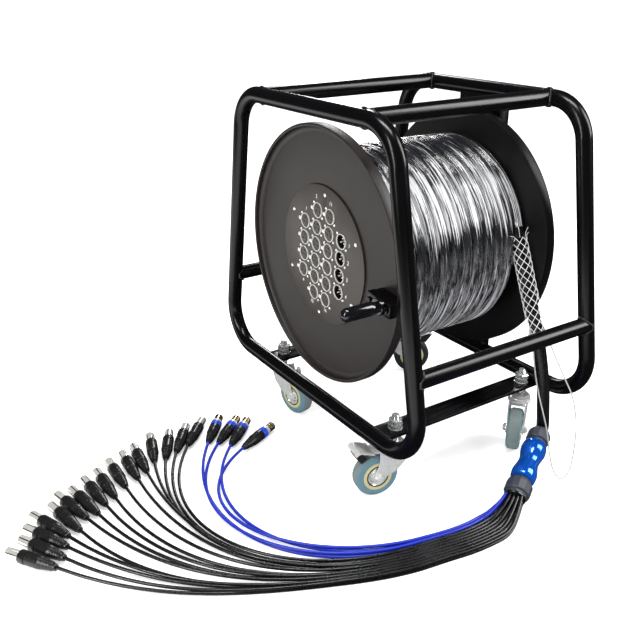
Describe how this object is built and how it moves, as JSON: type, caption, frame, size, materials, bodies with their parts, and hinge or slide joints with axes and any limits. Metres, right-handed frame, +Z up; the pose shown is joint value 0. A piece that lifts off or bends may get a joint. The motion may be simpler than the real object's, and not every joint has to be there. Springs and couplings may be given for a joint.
{
  "type": "stage box snake",
  "caption": "Multicore audio cable wound on a drum in a tubular frame on swivel casters, with a socket panel on one flange, a crank, and a breakout into a fan of tails with plugs.",
  "frame": {"origin": "on the floor under the middle of the object without its cords", "axes": "+Z up, +X along the drum's axle from the socket panel to the post, -Y towards the side where the cable leaves"},
  "size_m": [0.8769, 0.6236, 0.5813],
  "materials": {
    "black_paint": "gloss powder coat",
    "matt_black": "matt",
    "bright_steel": "bright",
    "socket_metal": "nickel ring, dark insert",
    "socket_black": "satin",
    "film_wrapped_cable": "clear film over black cable",
    "zinc_plate": "zinc plated",
    "blue_grey_tyre": "matt",
    "black_rubber": "satin",
    "blue_sheath": "satin",
    "dark_plastic": "satin",
    "blue_gloss": "gloss",
    "plug_black": "satin body, silver nose",
    "plug_blue": "satin body, silver nose"
  },
  "bodies": {
    "frame": {"hoop_left": "black_paint", "hoop_right": "black_paint", "top_tube_front": "black_paint", "top_tube_rear": "black_paint", "low_tube_front": "black_paint", "low_tube_rear": "black_paint", "caster_bar_front": "black_paint", "caster_bar_rear": "black_paint", "drum_post": "black_paint", "spindle": "bright_steel", "caster_stem_front_left": "zinc_plate", "caster_stem_front_right": "zinc_plate", "caster_stem_rear_left": "zinc_plate", "caster_stem_rear_right": "zinc_plate", "trunk_cable": "black_rubber", "cable_grip": "bright_steel", "gland_nut_in": "dark_plastic", "breakout_barrel": "blue_gloss", "gland_nut_out": "dark_plastic", "tails_black": "black_rubber", "tails_blue": "blue_sheath", "plug_01": "plug_black", "plug_02": "plug_black", "plug_03": "plug_black", "plug_04": "plug_black", "plug_05": "plug_black", "plug_06": "plug_black", "plug_07": "plug_black", "plug_08": "plug_black", "plug_09": "plug_black", "plug_10": "plug_black", "plug_11": "plug_black", "plug_12": "plug_black", "plug_13": "plug_black", "plug_14": "plug_black", "plug_15": "plug_black", "plug_16": "plug_black", "plug_17": "plug_blue", "plug_18": "plug_blue", "plug_19": "plug_blue", "plug_20": "plug_blue"},
    "drum": {"flange_left": "matt_black", "flange_right": "matt_black", "drum_barrel": "matt_black", "connector_panel": "matt_black", "female_sockets": "socket_metal", "male_sockets": "socket_black", "cable_winding": "film_wrapped_cable", "crank_bracket": "black_paint"},
    "crank": {"crank_grip": "black_paint"},
    "swivel_front_left": {"caster_fork_front_left": "zinc_plate"},
    "wheel_front_left": {"wheel_front_left": "blue_grey_tyre"},
    "pedal_front_left": {"brake_pedal_front_left": "zinc_plate"},
    "swivel_front_right": {"caster_fork_front_right": "zinc_plate"},
    "wheel_front_right": {"wheel_front_right": "blue_grey_tyre"},
    "swivel_rear_left": {"caster_fork_rear_left": "zinc_plate"},
    "wheel_rear_left": {"wheel_rear_left": "blue_grey_tyre"},
    "swivel_rear_right": {"caster_fork_rear_right": "zinc_plate"},
    "wheel_rear_right": {"wheel_rear_right": "blue_grey_tyre"},
    "pedal_rear_right": {"brake_pedal_rear_right": "zinc_plate"}
  },
  "joints": [
    {"name": "drum_spin", "type": "hinge", "parent": "frame", "child": "drum", "pos_m": [0.01791, 0, 0.3428], "axis": [1, 0, 0], "continuous": true, "deforming": ["trunk_cable", "cable_grip"]},
    {"name": "crank_grip_spin", "type": "hinge", "parent": "drum", "child": "crank", "pos_m": [-0.18209, -0.1802, 0.32577], "axis": [1, 0, 0], "continuous": true},
    {"name": "swivel_front_left", "type": "hinge", "parent": "frame", "child": "swivel_front_left", "pos_m": [-0.10509, -0.16, 0.08], "axis": [0, 0, 1], "continuous": true},
    {"name": "wheel_front_left_spin", "type": "hinge", "parent": "swivel_front_left", "child": "wheel_front_left", "pos_m": [-0.13634, -0.15307, 0.035], "axis": [-0.2164, -0.9763, 0], "continuous": true},
    {"name": "brake_pedal_front_left", "type": "hinge", "parent": "swivel_front_left", "child": "pedal_front_left", "pos_m": [-0.12853, -0.15481, 0.0765], "axis": [0.2164, 0.9763, 0], "range_deg": [-2, 12]},
    {"name": "swivel_front_right", "type": "hinge", "parent": "frame", "child": "swivel_front_right", "pos_m": [0.16391, -0.16, 0.08], "axis": [0, 0, 1], "continuous": true},
    {"name": "wheel_front_right_spin", "type": "hinge", "parent": "swivel_front_right", "child": "wheel_front_right", "pos_m": [0.13835, -0.17926, 0.035], "axis": [0.6018, -0.7986, 0], "continuous": true},
    {"name": "swivel_rear_left", "type": "hinge", "parent": "frame", "child": "swivel_rear_left", "pos_m": [-0.11059, 0.16, 0.08], "axis": [0, 0, 1], "continuous": true},
    {"name": "wheel_rear_left_spin", "type": "hinge", "parent": "swivel_rear_left", "child": "wheel_rear_left", "pos_m": [-0.10504, 0.12849, 0.035], "axis": [0.9848, 0.1736, 0], "continuous": true},
    {"name": "swivel_rear_right", "type": "hinge", "parent": "frame", "child": "swivel_rear_right", "pos_m": [0.14991, 0.16, 0.08], "axis": [0, 0, 1], "continuous": true},
    {"name": "wheel_rear_right_spin", "type": "hinge", "parent": "swivel_rear_right", "child": "wheel_rear_right", "pos_m": [0.17762, 0.144, 0.035], "axis": [0.5, 0.866, 0], "continuous": true},
    {"name": "brake_pedal_rear_right", "type": "hinge", "parent": "swivel_rear_right", "child": "pedal_rear_right", "pos_m": [0.17069, 0.148, 0.0765], "axis": [-0.5, -0.866, 0], "range_deg": [-2, 12]}
  ]
}
